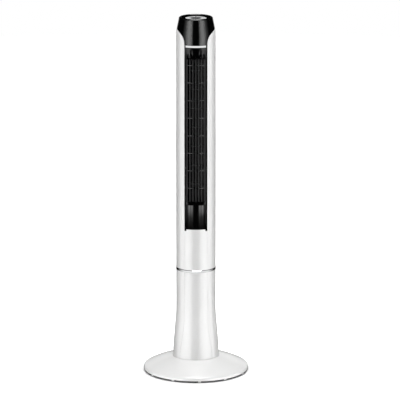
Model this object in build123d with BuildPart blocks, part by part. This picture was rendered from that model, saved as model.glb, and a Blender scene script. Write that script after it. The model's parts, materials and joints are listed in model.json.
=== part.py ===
from build123d import *
import math
import os

# A free-standing tower fan: round weighted base, pedestal, and a head that swings on it.
# Millimetres, +Z up, origin on the floor under the tower's axis, front of the fan at -Y.

os.makedirs("parts", exist_ok=True)

# ---------------------------------------------------------------- driving dimensions
total_height = 1165.0
base_radius = 170.0
body_radius = 63.5
ring_level = 338.0          # underside of the bright ring, where the head starts to turn
wall = 2.5                  # moulded shells

foot_height = 2.5           # rubber pads under the base
plate_thick = 3.5
base_wall = 2.8
base_height = 58.0          # top of the dome, if it ran on to the axis
rim_height = 7.0            # where the shoulder of the dome starts
shoulder_radius = 12.0
tab_count, tab_thick, tab_bottom = 12, 1.2, 3.0     # tabs of the cover that reach down past the plate's edge
tab_turn, tab_half = 4.0, 1.5        # where the first tab is and its half width, in degrees
weight_inner, weight_outer, weight_thick = 30.0, 128.0, 8.0

foot_radius = 75.0          # foot of the pedestal
foot_flare = 16.0           # how much wider the front panel's edge is at the foot
flare_top = 222.0           # above this the pedestal is a plain cylinder
column_radius, column_wall = 24.0, 3.0
column_flange, column_flange_thick = 50.0, 4.0

ring_height = 8.0
ring_proud = 0.8            # the ring stands out from the shells by this much
pivot_plate = 6.0
swing_gap = 0.8             # between the ring and the turning shells
panel_step = 1.6            # sill of the front shell under its white panel

gear_module, fixed_teeth, pinion_teeth = 1.25, 48, 12
gear_width = 4.6
gear_backlash = 0.35

strip_half = 36.4           # half width of the front strip, seen from the front
leg_width = 5.6             # side legs of the black insert
insert_bottom = 476.0       # foot of those legs
lower_panel_bottom = 482.0
lower_panel_top = 562.0
grille_bottom = 574.0
grille_top = total_height - 121.0
first_rib, last_rib = 43.7, 25.6    # outer ribs, from the ends of the slats
rib_count, slat_count = 8, 5
slat_pitch = 9.4
trim_bottom = total_height - 89.0
trim_height = 6.0
cap_seam = total_height - 34.0      # cap meets the rear shell
taper_start = total_height - 59.0
taper_radius = 102.0                # arc that bends the head inwards above taper_start
taper_angle = 11.3                  # lean of the cone above that arc, in degrees
rim_round = 5.0

fan_offset = 8.0            # the impeller sits this far behind the tower's axis
impeller_radius = 42.0
blade_count, blade_thick, blade_depth = 32, 1.2, 8.0
blade_chord, blade_lean = 9.5, 55.0     # lean from the radius, in degrees
disc_count, disc_thick = 9, 2.0
shaft_radius, stub_radius = 4.0, 3.0
motor_radius, motor_height = 39.0, 46.0
bracket_level, bracket_thick = 552.0, 4.0
bearing_level, bearing_thick = total_height - 99.0, 3.0

panel_recess = 5.5          # control panel below the rim
opening_radius = 46.5       # of the well that the panel lies in
button_outer, button_inner = 33.0, 16.6
button_travel = 0.8

# ---------------------------------------------------------------- clearances
seam = 0.4                  # visible joints between shells
fit = 0.3                   # loose fit of one piece inside another
running = 0.08              # shaft in its bearing, radial
gap = 0.5                   # inner pieces off the inside of the shells

# ---------------------------------------------------------------- levels that follow
plate_bottom = foot_height
plate_top = plate_bottom + plate_thick
skirt_bottom = plate_top + fit
shoulder_centre = base_radius - shoulder_radius
rise = base_height - rim_height
crown_radius = (shoulder_centre**2 + rise**2 - shoulder_radius**2) / (2 * (rise - shoulder_radius))
crown_centre = base_height - crown_radius
seat_gap, seat_depth = 1.5, 3.0      # open joint round the foot of the pedestal
seat_radius = foot_radius + seat_gap
inner_radius = body_radius - wall
ring_top = ring_level + ring_height
head_bottom = ring_top + swing_gap
pivot_top = ring_level - 4.5
pivot_bottom = pivot_top - pivot_plate
washer_thick = 2.0
turntable_bottom = ring_level + 3.0
turntable_top = turntable_bottom + 3.0
lip_top = turntable_top + 5.5
shoe_radius = inner_radius - 2.5
plate_radius = inner_radius - gap
ledge_height, ledge_depth = 3.0, 4.0
motor_bottom = bracket_level - motor_height
impeller_bottom = bracket_level + bracket_thick + 7.0
impeller_top = bearing_level - 6.0
panel_top = total_height - panel_recess
panel_thick = 2.5
button_top = panel_top + 1.7


def dome_height(radius, inset=0.0):
    """Height of the base's outer surface at a radius, or of a surface inset below it."""
    crown = crown_radius - inset
    shoulder = shoulder_radius - inset
    lean = shoulder_centre / (crown_radius - shoulder_radius)
    if radius < crown * lean:
        return crown_centre + math.sqrt(crown**2 - radius**2)
    return rim_height + math.sqrt(max(shoulder**2 - (radius - shoulder_centre)**2, 0.0))


def bend_end(inset=0.0):
    """Level where the head's arc meets its cone, on its outer surface or on one inset in it."""
    return taper_start + (taper_radius - inset) * math.sin(math.radians(taper_angle))


def head_radius(level, inset=0.0):
    """Outer radius of the head at a level: a cylinder, an arc, then a cone that leans in."""
    bend = taper_radius - inset
    if level <= taper_start:
        return body_radius - inset
    if level <= bend_end(inset):
        return body_radius - taper_radius + math.sqrt(bend**2 - (level - taper_start)**2)
    cone_foot = body_radius - taper_radius + bend * math.cos(math.radians(taper_angle))
    return cone_foot - (level - bend_end(inset)) * math.tan(math.radians(taper_angle))


def head_side(level_0, level_1, inset):
    """Line of the head's surface in section, from a level on the cylinder to one on the cone."""
    bend = bend_end(inset)
    middle = (taper_start + bend) / 2
    Line((body_radius - inset, level_0), (body_radius - inset, taper_start))
    ThreePointArc(
        (body_radius - inset, taper_start),
        (head_radius(middle, inset), middle),
        (head_radius(bend, inset), bend),
    )
    Line((head_radius(bend, inset), bend), (head_radius(level_1, inset), level_1))


def head_outline(level_0, level_1, thick):
    """Closed section of a shell that follows the head's outer surface."""
    with BuildSketch() as section:
        with BuildLine():
            head_side(level_0, level_1, 0.0)
            head_side(level_0, level_1, thick)
            for level in (level_0, level_1):
                Line((head_radius(level), level), (head_radius(level, thick), level))
        make_face()
    return section.sketch


def band(inner, outer, middle, half):
    """Sector of a flat ring about the tower's axis, angles in degrees."""
    with BuildSketch() as sector:
        with BuildLine():
            far = CenterArc((0, 0), outer, middle - half, 2 * half)
            near = CenterArc((0, 0), inner, middle - half, 2 * half)
            Line(far @ 0, near @ 0)
            Line(far @ 1, near @ 1)
        make_face()
    return sector.sketch


def ring(inner, outer):
    """Flat ring about the active location of the sketch."""
    Circle(outer)
    Circle(inner, mode=Mode.SUBTRACT)


def on_circle(radius, angles, centre=(0.0, 0.0)):
    """Points on a circle, at angles in degrees from +X."""
    turns = [math.radians(angle) for angle in angles]
    return [(centre[0] + radius * math.cos(t), centre[1] + radius * math.sin(t)) for t in turns]


def screw_set(plane, places, head, head_high, shank, shank_long):
    """Screws whose heads stand on a plane and whose shanks run back through it."""
    with BuildPart() as group:
        with BuildSketch(plane):
            with Locations(*places):
                Circle(head)
        extrude(amount=head_high)
        with BuildSketch(plane):
            with Locations(*places):
                Circle(shank)
        extrude(amount=-shank_long)
    return group.part


def shoulder_line(side, room=0.0):
    """Edge between the black cap and the white shell, seen from the front."""
    points = [
        (strip_half, trim_bottom + trim_height),
        (strip_half + 1.8, total_height - 65.5),
        (strip_half + 5.9, total_height - 55.5),
        (strip_half + 15.6, total_height - 44.0),
        (strip_half + 22.0, total_height - 38.5),
        (head_radius(cap_seam), cap_seam),
    ]
    points = [(side * (x + room), z - room) for x, z in points]
    Line((side * (strip_half + room), trim_bottom), points[0])
    Spline(*points, tangents=((0, 1), (0, 1)))


def panel_edge(side, room=0.0):
    """Edge of the pedestal's front panel, which widens towards the foot."""
    low = (side * (strip_half + foot_flare + room), 0.0)
    foot = (side * (strip_half + foot_flare + room), seat_level)
    waist = (side * (strip_half + 0.56 * foot_flare + room), (seat_level + flare_top) / 2 - 24)
    top = (side * (strip_half + room), flare_top)
    Line(low, foot)
    Spline(foot, waist, top, tangents=((0, 1), (0, 1)))
    Line(top, (side * (strip_half + room), ring_level + 1))


def involute_gear(teeth, turn):
    """Outline of a spur gear with 20 degree flanks, one tooth centred at the turn angle."""
    pitch = gear_module * teeth / 2
    base = pitch * math.cos(math.radians(20))
    tip, root = pitch + 0.8 * gear_module, pitch - 1.15 * gear_module
    half = math.pi / (2 * teeth) - gear_backlash / (2 * pitch)
    start = max(base, root)
    flank = []
    for step in range(4):
        radius = start + (tip - start) * step / 3
        press = math.acos(min(base / radius, 1.0))
        roll = math.tan(math.radians(20)) - math.radians(20) - math.tan(press) + press
        flank.append((radius, half + roll))
    profile = [(root, flank[0][1])] if root < start else []
    profile += flank
    points = []
    for tooth in range(teeth):
        middle = math.radians(turn) + 2 * math.pi * tooth / teeth
        edge = [(r, middle - a) for r, a in profile] + [(r, middle + a) for r, a in reversed(profile)]
        points += [(r * math.cos(a), r * math.sin(a)) for r, a in edge]
    with BuildSketch() as gear:
        with BuildLine():
            Polyline(*points, close=True)
        make_face()
    return gear.sketch


def save(piece, name):
    piece.part.label = name
    export_step(piece.part, f"parts/{name}.step")


# ================================================================ STAND
# ---------------------------------------------------------------- base cover
boss_ring, boss_radius = 138.0, 5.0
floor_level = dome_height(seat_radius) - seat_depth - 8.5
seat_level = dome_height(seat_radius) - seat_depth
well_radius = seat_radius - 16.6
wire_hole = 14.0
gland_level = 13.5
gland_nose = 5.5
column_screw_ring, column_screw, column_boss = 38.0, 2.5, 13.0
lean = shoulder_centre / (crown_radius - shoulder_radius)
foot_ring = foot_radius - 6.5
shell_foot_places = on_circle(foot_ring, (0, 60, 120, 180))
panel_foot_places = on_circle(foot_ring, (270,))
boss_places = on_circle(boss_ring, range(0, 360, 60))
column_screw_places = on_circle(column_screw_ring, range(45, 360, 90))
pivot_screw_places = on_circle(inner_radius - gap - 2.1, (0, 60, 120, 180, 270))


def dome_arcs(inset, radius_0):
    """Crown and shoulder arcs of the dome, from radius_0 out to the rim."""
    crown, shoulder = crown_radius - inset, shoulder_radius - inset
    knee = (crown * lean, crown_centre + crown * math.sqrt(1 - lean**2))
    middle = (radius_0 + knee[0]) / 2
    ThreePointArc((radius_0, dome_height(radius_0, inset)), (middle, dome_height(middle, inset)), knee)
    turn = (math.asin(lean) + math.pi / 2) / 2
    bend = (shoulder_centre + shoulder * math.sin(turn), rim_height + shoulder * math.cos(turn))
    ThreePointArc(knee, bend, (shoulder_centre + shoulder, rim_height))
    Line((shoulder_centre + shoulder, rim_height), (shoulder_centre + shoulder, skirt_bottom))


with BuildPart() as base_cover:
    with BuildSketch(Plane.XZ):
        with BuildLine():
            dome_arcs(0.0, seat_radius)
            dome_arcs(base_wall, seat_radius + 2)
            Line((base_radius, skirt_bottom), (base_radius - base_wall, skirt_bottom))
            Polyline(
                (seat_radius, dome_height(seat_radius)),
                (seat_radius, seat_level),
                (well_radius, seat_level),
                (well_radius, floor_level),
                (wire_hole, floor_level),
                (wire_hole, floor_level - base_wall),
                (well_radius + base_wall, floor_level - base_wall),
                (well_radius + base_wall, seat_level - base_wall),
                (seat_radius + 2, seat_level - base_wall),
                (seat_radius + 2, dome_height(seat_radius + 2, base_wall)),
            )
        make_face()
    revolve(axis=Axis.Z)
    # screw bosses down to the plate, and four under the column
    with BuildSketch(Plane.XY.offset(plate_top)):
        with Locations(*boss_places):
            ring(1.6, boss_radius)
    extrude(amount=dome_height(boss_ring + boss_radius) - base_wall / 2 - plate_top)
    with BuildSketch(Plane.XY.offset(floor_level - base_wall)):
        with Locations(*column_screw_places):
            Circle(6)
    extrude(amount=-column_boss)
    with BuildSketch(Plane.XY.offset(floor_level)):
        with Locations(*column_screw_places):
            Circle(column_screw + running)
    extrude(amount=-column_boss, mode=Mode.SUBTRACT)
    with BuildSketch(Plane.XY.offset(seat_level)):
        with Locations(*shell_foot_places, *panel_foot_places):
            Circle(1.8)
    extrude(amount=-base_wall - 1, mode=Mode.SUBTRACT)
    with BuildSketch(Plane.XZ.offset(-base_radius - 2)):
        with Locations((0, gland_level)):
            Circle(gland_nose + fit)
    extrude(amount=20, mode=Mode.SUBTRACT)
    with BuildSketch(Plane.XY.offset(tab_bottom)):
        for k in range(tab_count):
            add(band(base_radius - tab_thick, base_radius, tab_turn + k * 360 / tab_count, tab_half))
    extrude(amount=skirt_bottom - tab_bottom + 1)
save(base_cover, "base_cover")

# ---------------------------------------------------------------- base plate, weight, pads
pad_ring, pad_radius = base_radius - 16.0, 9.0
weight_screw_places = on_circle((weight_inner + weight_outer) / 2, range(0, 360, 90))
under_plate = Plane(origin=(0, 0, plate_bottom + 1.5), z_dir=(0, 0, -1), x_dir=(1, 0, 0))

with BuildPart() as base_plate:
    with BuildSketch(Plane.XY.offset(plate_bottom)):
        Circle(base_radius - 1.5)
        with Locations(*boss_places):
            Circle(1.8, mode=Mode.SUBTRACT)
        with Locations(*weight_screw_places):
            Circle(2.2, mode=Mode.SUBTRACT)
    extrude(amount=plate_thick)
    with BuildSketch(Plane.XY.offset(plate_bottom)):
        with Locations(*boss_places):
            Circle(3.5)
        with Locations(*weight_screw_places):
            Circle(4.2)
    extrude(amount=1.5, mode=Mode.SUBTRACT)
save(base_plate, "base_plate")

with BuildPart() as base_weight:
    with BuildSketch(Plane.XY.offset(plate_top)):
        ring(weight_inner, weight_outer)
        with Locations(*weight_screw_places):
            Circle(2.0 + running, mode=Mode.SUBTRACT)
    extrude(amount=weight_thick)
    chamfer(base_weight.edges().group_by(Axis.Z)[-1].sort_by(SortBy.RADIUS)[-1], length=1.5)
save(base_weight, "base_weight")

with BuildPart() as foot_pads:
    with BuildSketch():
        with PolarLocations(pad_ring, 6, start_angle=30):
            Circle(pad_radius)
    extrude(amount=foot_height)
    chamfer(foot_pads.edges().group_by(Axis.Z)[0], length=0.6)
save(foot_pads, "foot_pads")


with BuildPart() as base_screws:
    add(screw_set(under_plate, boss_places, 3.1, 1.5, 1.5, 13))
save(base_screws, "base_screws")

with BuildPart() as weight_screws:
    add(screw_set(under_plate, weight_screw_places, 3.8, 1.5, 2.0, plate_thick + weight_thick - 3))
save(weight_screws, "weight_screws")

# ---------------------------------------------------------------- cord gland
gland_bore = 3.6
gland_back = base_radius - 41.0
with BuildPart() as cord_gland:
    with BuildSketch(Plane.XY.offset(plate_top)):
        with Locations((0, gland_back + 6)):
            RectangleRounded(22, 12, 2)
    extrude(amount=gland_level + gland_nose + 1 - plate_top)
    with BuildSketch(Plane.XZ.offset(-gland_back - 12)):
        with Locations((0, gland_level)):
            Circle(gland_nose)
    extrude(amount=-(base_radius - 0.4 - gland_back - 12))
    with BuildSketch(Plane.XZ.offset(-gland_back)):
        with Locations((0, gland_level)):
            Circle(gland_bore)
    extrude(amount=-(base_radius - gland_back), mode=Mode.SUBTRACT)
save(cord_gland, "cord_gland")

# ---------------------------------------------------------------- pedestal shells
def pedestal_blank(screw_places):
    """The whole pedestal wall, its lip for the pivot plate, and its screw bosses."""
    with BuildPart() as blank:
        with BuildSketch(Plane.XZ):
            with BuildLine():
                for depth in (0.0, wall):
                    Spline(
                        (foot_radius - depth, seat_level),
                        (body_radius + 0.65 * (foot_radius - body_radius) - depth, 112.0),
                        (body_radius - depth, flare_top),
                        tangents=((-0.05, 1), (0, 1)),
                    )
                    Line((body_radius - depth, flare_top), (body_radius - depth, ring_level))
                Line((foot_radius - wall, seat_level), (foot_radius, seat_level))
                Line((body_radius - wall, ring_level), (body_radius, ring_level))
            make_face()
            with BuildLine():
                Polyline(
                    (inner_radius + 1, pivot_bottom),
                    (inner_radius - ledge_depth, pivot_bottom),
                    (inner_radius - ledge_depth, pivot_bottom - ledge_height),
                    (inner_radius + 1, pivot_bottom - ledge_height - ledge_depth),
                    close=True,
                )
            make_face()
        revolve(axis=Axis.Z)
        with BuildSketch(Plane.XY.offset(seat_level)):
            with Locations(*screw_places):
                Circle(4.5)
        extrude(amount=15)
        with BuildSketch(Plane.XY.offset(seat_level)):
            with Locations(*screw_places):
                Circle(1.6)
        extrude(amount=12, mode=Mode.SUBTRACT)
        with BuildSketch(Plane.XY.offset(pivot_bottom)):
            with Locations(*pivot_screw_places):
                Circle(1.3)
        extrude(amount=-ledge_height - ledge_depth, mode=Mode.SUBTRACT)
    return blank.part


with BuildPart() as pedestal_shell:
    add(pedestal_blank(shell_foot_places))
    with BuildSketch(Plane.XZ):
        with BuildLine():
            for side in (-1, 1):
                panel_edge(side, seam)
            Line((-strip_half - foot_flare - seam, 0), (strip_half + foot_flare + seam, 0))
            Line((-strip_half - seam, ring_level + 1), (strip_half + seam, ring_level + 1))
        make_face()
    extrude(amount=foot_radius + 5, mode=Mode.SUBTRACT)
save(pedestal_shell, "pedestal_shell")

with BuildPart() as pedestal_front_panel:
    add(pedestal_blank(panel_foot_places))
    with BuildSketch(Plane.XZ):
        with BuildLine():
            for side in (-1, 1):
                panel_edge(side)
            Line((-strip_half - foot_flare, 0), (strip_half + foot_flare, 0))
            Line((-strip_half, ring_level + 1), (strip_half, ring_level + 1))
        make_face()
    extrude(amount=foot_radius + 5, mode=Mode.INTERSECT)
save(pedestal_front_panel, "pedestal_front_panel")

with BuildPart() as pedestal_screws:
    under_seat = Plane(origin=(0, 0, seat_level - base_wall), z_dir=(0, 0, -1), x_dir=(1, 0, 0))
    places = [(x, -y) for x, y in shell_foot_places + panel_foot_places]
    add(screw_set(under_seat, places, 3.0, 2.0, 1.5, base_wall + 10))
save(pedestal_screws, "pedestal_screws")

# ---------------------------------------------------------------- column
with BuildPart() as column:
    with BuildSketch(Plane.XY.offset(floor_level)):
        ring(column_radius - column_wall, column_flange)
        with Locations(*column_screw_places):
            Circle(column_screw + fit, mode=Mode.SUBTRACT)
    extrude(amount=column_flange_thick)
    with BuildSketch(Plane.XY.offset(floor_level)):
        ring(column_radius - column_wall, column_radius)
    extrude(amount=pivot_bottom - floor_level)
    with BuildSketch(Plane.XZ):
        with BuildLine():
            Polyline(
                (column_radius - 1, floor_level + 1),
                (column_flange - 4, floor_level + 1),
                (column_flange - 4, floor_level + column_flange_thick + 1),
                (column_radius - 1, floor_level + 40),
                close=True,
            )
        make_face()
    extrude(amount=1.5, both=True)
    mirror(about=Plane.YZ)
save(column, "column")

with BuildPart() as column_screws:
    flange_top = Plane.XY.offset(floor_level + column_flange_thick)
    add(screw_set(flange_top, column_screw_places, 4.5, 3.0, column_screw, column_boss))
save(column_screws, "column_screws")

# ---------------------------------------------------------------- pivot
hub_radius = 15.0
pivot_boss = 14.0           # how far the pivot's bearing boss reaches down into the column
with BuildPart() as pivot_housing:
    with BuildSketch(Plane.XY.offset(pivot_bottom)):
        ring(hub_radius + running, inner_radius - gap)
        with Locations(*pivot_screw_places):
            Circle(1.5, mode=Mode.SUBTRACT)
    extrude(amount=pivot_plate)
    with BuildSketch(Plane.XY.offset(pivot_bottom)):
        ring(hub_radius + running, column_radius - column_wall - 0.1)
    extrude(amount=-pivot_boss)
save(pivot_housing, "pivot_housing")

with BuildPart() as pivot_screws:
    add(screw_set(Plane.XY.offset(pivot_top), pivot_screw_places, 1.9, 1.6, 1.2, pivot_plate + 3))
save(pivot_screws, "pivot_screws")

with BuildPart() as fixed_gear:
    with BuildSketch(Plane.XY.offset(pivot_top)):
        add(involute_gear(fixed_teeth, 0))
        Circle(hub_radius + 8, mode=Mode.SUBTRACT)
    extrude(amount=gear_width)
save(fixed_gear, "fixed_gear")

with BuildPart() as thrust_washer:
    with BuildSketch(Plane.XY.offset(pivot_top)):
        ring(hub_radius + fit, hub_radius + 7)
    extrude(amount=washer_thick)
save(thrust_washer, "thrust_washer")

with BuildPart() as trim_ring:
    with BuildSketch(Plane.XZ):
        with BuildLine():
            Polyline(
                (inner_radius + 0.2, ring_level),
                (body_radius + ring_proud - 1, ring_level),
                (body_radius + ring_proud, ring_level + 1),
                (body_radius + ring_proud, ring_top - 1),
                (body_radius + ring_proud - 1, ring_top),
                (inner_radius + 0.2, ring_top),
                close=True,
            )
        make_face()
    revolve(axis=Axis.Z)
save(trim_ring, "trim_ring")

# ================================================================ HEAD
# ---------------------------------------------------------------- turntable and swing drive
hub_bottom = pivot_bottom - pivot_boss - gap
drive_distance = gear_module * (fixed_teeth + pinion_teeth) / 2
stepper_radius, stepper_height, stepper_ear = 14.0, 19.0, 17.5
ear_places = [(-stepper_ear, drive_distance), (stepper_ear, drive_distance)]
lip_screw_places = on_circle(inner_radius - 6.0, (20, 160, 215, 325))
hub_screw_places = on_circle(hub_radius - 3, (0, 120, 240))

with BuildPart() as turntable:
    with BuildSketch(Plane.XY.offset(turntable_bottom)):
        Circle(inner_radius - gap - 1)
        with Locations((0, drive_distance)):
            Circle(4.5, mode=Mode.SUBTRACT)
        with Locations(*ear_places):
            Circle(1.6, mode=Mode.SUBTRACT)
        with Locations(*lip_screw_places):
            Circle(1.8, mode=Mode.SUBTRACT)
    extrude(amount=turntable_top - turntable_bottom)
    with BuildSketch(Plane.XY.offset(turntable_bottom)):
        Circle(hub_radius + 6)
    extrude(amount=-(turntable_bottom - pivot_top - washer_thick - 0.1))
    with BuildSketch(Plane.XY.offset(turntable_bottom)):
        Circle(hub_radius)
    extrude(amount=-(turntable_bottom - hub_bottom))
    with BuildSketch(Plane.XY.offset(turntable_top)):
        Circle(hub_radius - 6)
    extrude(amount=-(turntable_top - hub_bottom), mode=Mode.SUBTRACT)
    with BuildSketch(Plane.XY.offset(hub_bottom)):
        with Locations(*hub_screw_places):
            Circle(1.1)
    extrude(amount=9, mode=Mode.SUBTRACT)
save(turntable, "turntable")

with BuildPart() as hub_retainer:
    with BuildSketch(Plane.XY.offset(hub_bottom)):
        ring(hub_radius - 6, hub_radius + 4)
        with Locations(*hub_screw_places):
            Circle(1.3, mode=Mode.SUBTRACT)
    extrude(amount=-3)
save(hub_retainer, "hub_retainer")

with BuildPart() as retainer_screws:
    under_hub = Plane(origin=(0, 0, hub_bottom - 3), z_dir=(0, 0, -1), x_dir=(1, 0, 0))
    places = [(x, -y) for x, y in hub_screw_places]
    add(screw_set(under_hub, places, 2.0, 1.6, 1.0, 10))
save(retainer_screws, "retainer_screws")

with BuildPart() as turntable_screws:
    under_table = Plane(origin=(0, 0, turntable_bottom), z_dir=(0, 0, -1), x_dir=(1, 0, 0))
    places = [(x, -y) for x, y in lip_screw_places]
    add(screw_set(under_table, places, 3.0, 1.2, 1.5, 7))
save(turntable_screws, "turntable_screws")

with BuildPart() as swing_motor:
    with BuildSketch(Plane.XY.offset(turntable_top)):
        with Locations((0, drive_distance)):
            Circle(stepper_radius)
            Rectangle(2 * stepper_ear, 7)
        with Locations(*ear_places):
            Circle(3.5)
    extrude(amount=1)
    with BuildSketch(Plane.XY.offset(turntable_top)):
        with Locations((0, drive_distance)):
            Circle(stepper_radius)
    extrude(amount=stepper_height)
    with BuildSketch(Plane.XY.offset(turntable_top)):
        with Locations((0, drive_distance)):
            Circle(2.5 + running)
    extrude(amount=9, mode=Mode.SUBTRACT)
    with BuildSketch(Plane.XY.offset(turntable_top)):
        with Locations(*ear_places):
            Circle(1.6)
    extrude(amount=2, mode=Mode.SUBTRACT)
save(swing_motor, "swing_motor")

with BuildPart() as swing_motor_screws:
    add(screw_set(Plane.XY.offset(turntable_top + 1), ear_places, 2.6, 1.8, 1.4, 3.8))
save(swing_motor_screws, "swing_motor_screws")

with BuildPart() as drive_pinion:
    with BuildSketch(Plane.XY.offset(pivot_top + 0.5).move(Location((0, drive_distance, 0)))):
        add(involute_gear(pinion_teeth, 180 / pinion_teeth))
    extrude(amount=gear_width)
    with BuildSketch(Plane.XY.offset(pivot_top + 0.5)):
        with Locations((0, drive_distance)):
            Circle(2.5)
    extrude(amount=turntable_top + 8 - pivot_top - 0.5)
save(drive_pinion, "drive_pinion")

# ---------------------------------------------------------------- head shells
shell_screw_x = inner_radius - 11.0
shell_screw_places = [
    (side * shell_screw_x, level)
    for side in (-1, 1)
    for level in (372.0, 530.0, total_height - 75.0)
]
screw_seat, shell_boss = 12.0, 4.5
boss_reach = math.sqrt((inner_radius + 1)**2 - (shell_screw_x + shell_boss)**2)
rear_window_half, rear_window_bottom, rear_window_top = 58.0, 588.0, grille_top - 14.0


def head_blank():
    """Head wall, its bottom lip, and the ledges for the motor bracket and the bearing plate."""
    with BuildPart() as blank:
        with BuildSketch(Plane.XZ):
            add(head_outline(head_bottom, cap_seam, wall))
        revolve(axis=Axis.Z)
        with BuildSketch(Plane.XY.offset(turntable_top)):
            ring(inner_radius - 9, inner_radius - gap)
        extrude(amount=lip_top - turntable_top)
        with BuildSketch(Plane.XY.offset(head_bottom)):
            ring(inner_radius - 1, inner_radius + 1)
        extrude(amount=lip_top - head_bottom)
        for level in (bracket_level, bearing_level):
            with BuildSketch(Plane.XY.offset(level)):
                ring(inner_radius - ledge_depth, inner_radius + 0.5)
            extrude(amount=-ledge_height)
        with BuildSketch(Plane.XY.offset(turntable_top)):
            with Locations(*lip_screw_places):
                Circle(1.6)
        extrude(amount=4.5, mode=Mode.SUBTRACT)
    return blank.part


with BuildPart() as front_shell:
    add(head_blank())
    split(bisect_by=Plane.XZ, keep=Keep.TOP)
    with BuildSketch(Plane.XZ):
        with Locations(*shell_screw_places):
            Circle(shell_boss)
    extrude(amount=boss_reach)
    with BuildSketch(Plane.XZ):
        with Locations(*shell_screw_places):
            Circle(1.6)
    extrude(amount=screw_seat + 1, mode=Mode.SUBTRACT)
    # inner skin behind the white panel, then the recess that the panel lies in
    with BuildSketch(Plane.XY.offset(turntable_top)):
        add(band(shoe_radius, inner_radius + 0.2, -90, 42))
    extrude(amount=insert_bottom - turntable_top)
    with BuildSketch(Plane.XY.offset(head_bottom + panel_step)):
        Circle(body_radius + 5)
        Circle(inner_radius, mode=Mode.SUBTRACT)
        with Locations((0, -body_radius)):
            Rectangle(2 * (strip_half + seam), body_radius, mode=Mode.INTERSECT)
    extrude(amount=insert_bottom - head_bottom, mode=Mode.SUBTRACT)
    # window for the black insert, and the sweep under the cap's shoulders
    with BuildSketch(Plane.XZ):
        with Locations((0, insert_bottom)):
            Rectangle(2 * (strip_half + seam), cap_seam, align=(Align.CENTER, Align.MIN))
    extrude(amount=body_radius + 5, mode=Mode.SUBTRACT)
    with BuildSketch(Plane.XZ):
        with BuildLine():
            side_top = head_radius(cap_seam) + seam
            for side in (-1, 1):
                shoulder_line(side, seam)
                Line((side * side_top, cap_seam - seam), (side * 90, cap_seam - seam))
                Line((side * 90, cap_seam - seam), (side * 90, total_height))
            Line((-90, total_height), (90, total_height))
            Line((-strip_half - seam, trim_bottom), (strip_half + seam, trim_bottom))
        make_face()
    extrude(amount=body_radius + 5, mode=Mode.SUBTRACT)
save(front_shell, "front_shell")

with BuildPart() as rear_shell:
    add(head_blank())
    split(bisect_by=Plane.XZ, keep=Keep.BOTTOM)
    with BuildSketch(Plane.XZ):
        with Locations(*shell_screw_places):
            Circle(shell_boss)
    extrude(amount=-boss_reach)
    with BuildSketch(Plane.XZ):
        with Locations(*shell_screw_places):
            Circle(1.8)
    extrude(amount=-screw_seat, mode=Mode.SUBTRACT)
    with BuildSketch(Plane.XZ.offset(-screw_seat)):
        with Locations(*shell_screw_places):
            Circle(3.5)
    extrude(amount=-body_radius, mode=Mode.SUBTRACT)
    with BuildSketch(Plane.XY.offset(rear_window_bottom)):
        add(band(inner_radius - 8, body_radius + 5, 90, rear_window_half))
    extrude(amount=rear_window_top - rear_window_bottom, mode=Mode.SUBTRACT)
save(rear_shell, "rear_shell")

with BuildPart() as shell_screws:
    head_seat = Plane.XZ.offset(-screw_seat)
    behind = Plane(origin=head_seat.origin, z_dir=(0, 1, 0), x_dir=(1, 0, 0))
    places = [(x, -z) for x, z in shell_screw_places]
    add(screw_set(behind, places, 3.0, 2.2, 1.4, 2 * screw_seat))
save(shell_screws, "shell_screws")

# ---------------------------------------------------------------- front strip
def front_strip(half_width, level_0, level_1, inset, thick):
    """Piece of the head's front wall, cut to a width as seen from the front."""
    with BuildPart() as strip:
        with BuildSketch(Plane.XZ):
            with Locations((body_radius - inset, level_0)):
                Rectangle(thick, level_1 - level_0, align=(Align.MAX, Align.MIN))
        revolve(axis=Axis.Z)
        with BuildSketch(Plane.XZ):
            with Locations((0, level_0)):
                Rectangle(2 * half_width, level_1 - level_0, align=(Align.CENTER, Align.MIN))
        extrude(amount=body_radius + 5, mode=Mode.INTERSECT)
    return strip.part


black_panel_half = strip_half - leg_width
panel_recess_depth = wall + 0.1     # recess of the black insert that the two panels lie in

with BuildPart() as lower_front_panel:
    add(front_strip(strip_half, head_bottom + panel_step, insert_bottom - seam, 0, wall - 0.2))
    # tongue that runs up between the legs of the black insert
    add(front_strip(black_panel_half - seam, insert_bottom - 2, lower_panel_bottom - seam, 0, wall - 0.2))
save(lower_front_panel, "lower_front_panel")

insert_thick = 4.5
window_half = 30.5
slat_thick, slat_deep, slat_back = 1.8, 7.0, 1.6
rib_tall, rib_deep = 1.8, 3.0
rib_pitch = (grille_top - last_rib - grille_bottom - first_rib) / (rib_count - 1)
rib_levels = [grille_bottom + first_rib + rib_pitch * k for k in range(rib_count)]
bar_half = strip_half - 4.0


def slat_places():
    """Middle of each upright slat, the outer two against the sides of the window."""
    places = []
    for k in range(-(slat_count + 1) // 2, (slat_count + 1) // 2 + 1):
        x = k * slat_pitch
        front = math.sqrt((body_radius - slat_back)**2 - x**2)
        places.append((x, -front + slat_deep / 2))
    return places


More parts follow.
